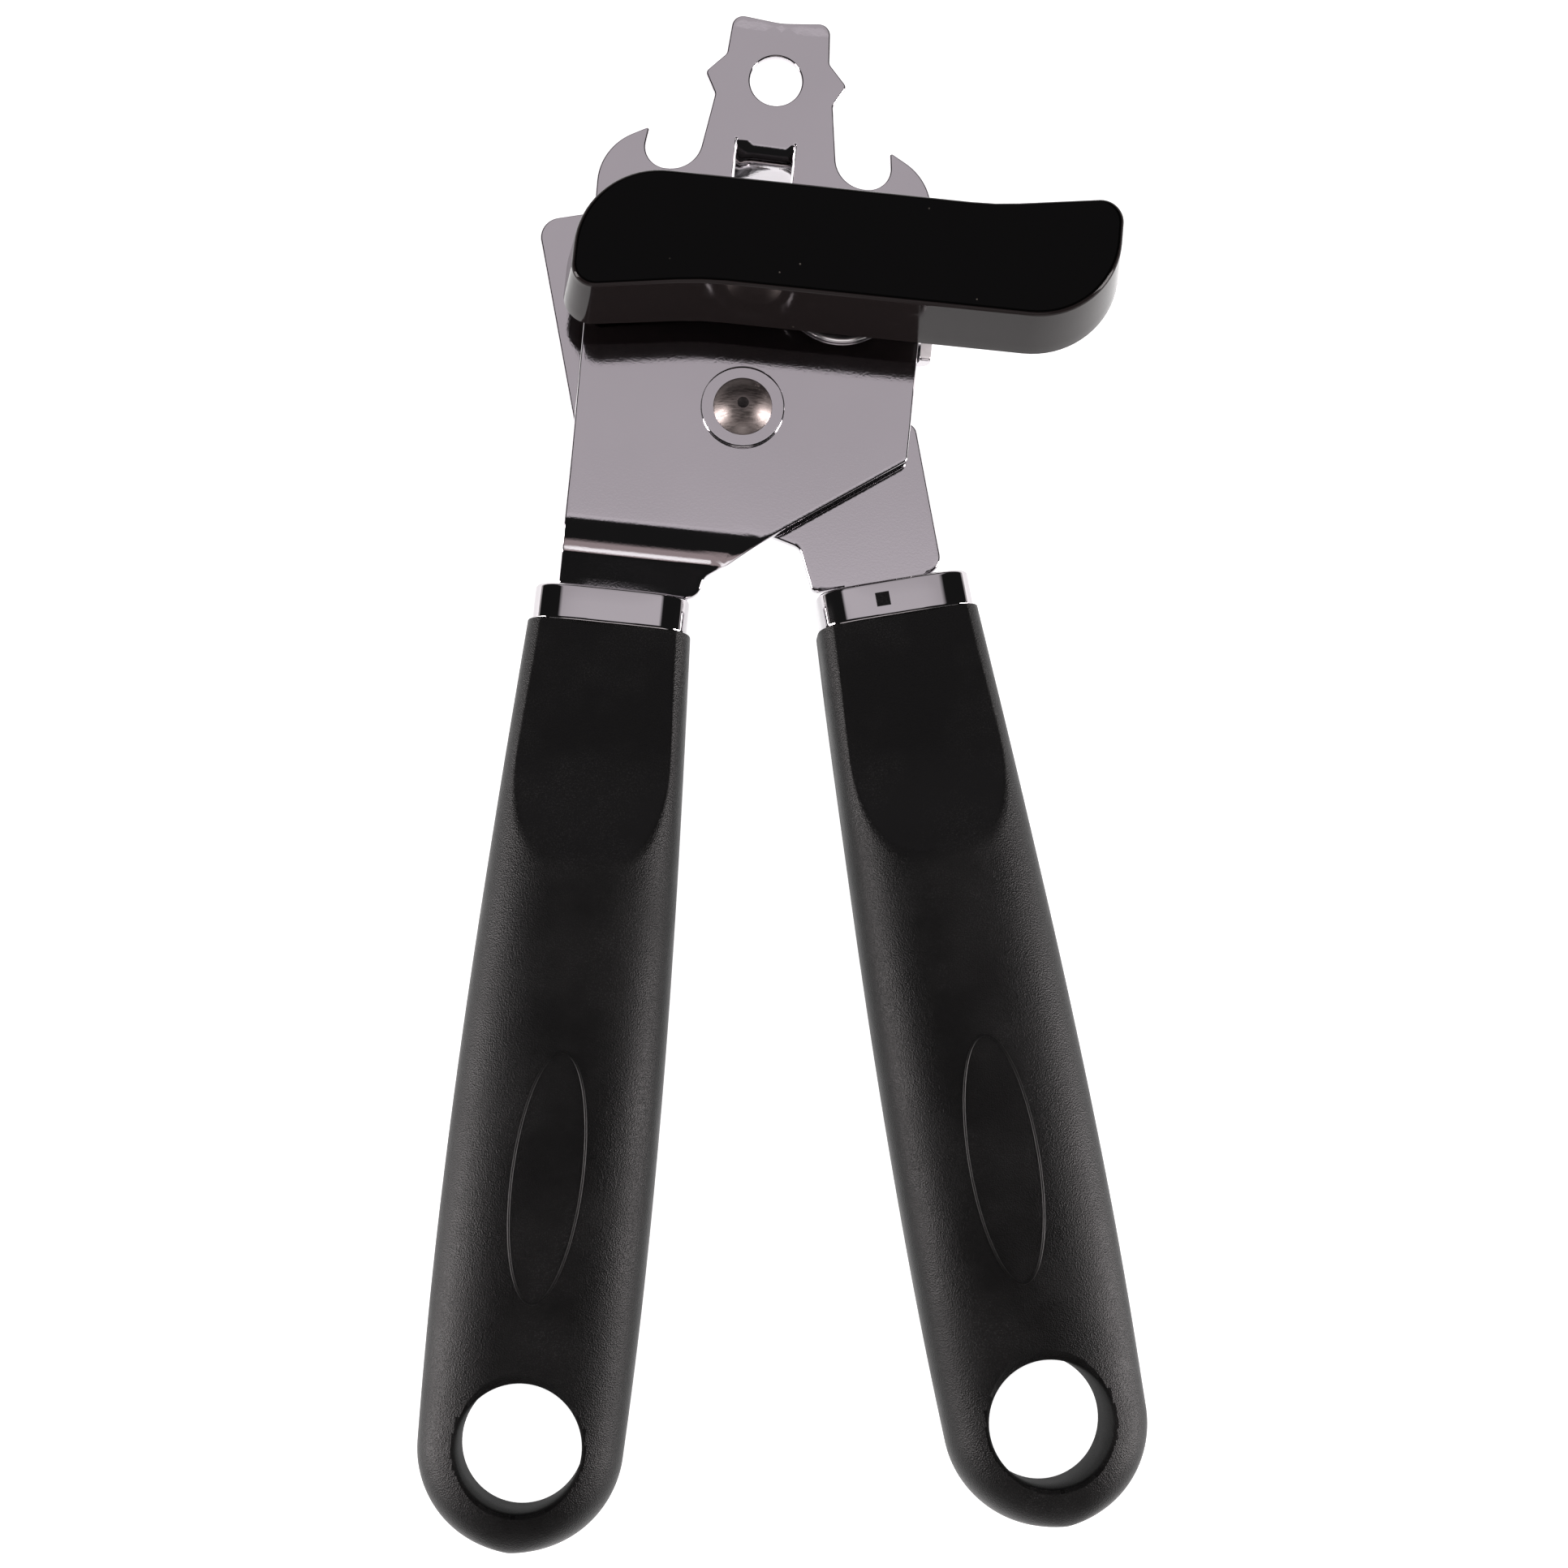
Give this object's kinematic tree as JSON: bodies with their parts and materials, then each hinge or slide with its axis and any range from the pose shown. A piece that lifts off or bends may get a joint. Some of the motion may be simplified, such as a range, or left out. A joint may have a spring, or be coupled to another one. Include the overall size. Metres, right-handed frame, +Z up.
{
  "type": "manual can opener",
  "caption": "Hand-held can opener: two hinged levers with plastic grips, a turning knob on a toothed feed wheel, a geared cutter wheel and a cap-lifter head.",
  "frame": {"origin": "middle of the opener's footprint as it lies with its handles open, on the plane its grips rest on", "axes": "+Y from the grips towards the cap-lifter head, +Z up through the knob, +X to the right seen from the knob side"},
  "size_m": [0.092, 0.2012, 0.0295],
  "materials": {
    "chromed_plate": "mirror-bright chrome plating on stamped steel",
    "chromed_ferrule": "mirror-bright chrome plating",
    "grip_plastic": "fine-grained satin black moulding",
    "knob_plastic": "polished black moulding",
    "rivet_steel": "nickel-plated steel",
    "washer_steel": "bright zinc-plated steel",
    "gear_steel": "hardened steel, lightly oiled",
    "cutter_steel": "ground hardened steel"
  },
  "bodies": {
    "front_lever": {"front_plate": "chromed_plate", "front_tang": "chromed_plate", "lanced_tongue": "chromed_plate", "front_ferrule": "chromed_ferrule", "front_handle": "grip_plastic", "pivot_rivet": "rivet_steel", "pivot_bush": "chromed_plate", "pivot_spacer": "rivet_steel", "pivot_washer": "washer_steel", "shaft_bush": "rivet_steel"},
    "rear_lever": {"rear_plate": "chromed_plate", "cutter_arm": "chromed_plate", "stop_tab": "chromed_plate", "rear_ferrule": "chromed_ferrule", "rear_handle": "grip_plastic", "cutter_bush": "rivet_steel"},
    "drive": {"knob": "knob_plastic", "knob_boss": "knob_plastic", "cup_washer": "washer_steel", "drive_shaft": "rivet_steel", "drive_gear": "gear_steel", "drive_spacer": "washer_steel", "feed_wheel": "gear_steel", "feed_washer": "washer_steel"},
    "cutter": {"cutter_spindle": "rivet_steel", "cutter_gear": "gear_steel", "cutter_thrust_washer": "washer_steel", "cutter_wheel": "cutter_steel"}
  },
  "joints": [
    {"name": "lever_pivot", "type": "hinge", "parent": "front_lever", "child": "rear_lever", "pos_m": [-0.00572, 0.04578, 0.01], "axis": [0, 0, 1], "range_deg": [-15.5, 0]},
    {"name": "knob_spin", "type": "hinge", "parent": "front_lever", "child": "drive", "pos_m": [0.00738, 0.0629, 0.01], "axis": [0, 0, 1], "continuous": true},
    {"name": "cutter_spin", "type": "hinge", "parent": "rear_lever", "child": "cutter", "pos_m": [-0.01343, 0.063, 0.01], "axis": [0, 0, 1], "continuous": true}
  ],
  "couplings": [
    {"joint": "cutter_spin", "follows": "knob_spin", "ratio": -1}
  ]
}
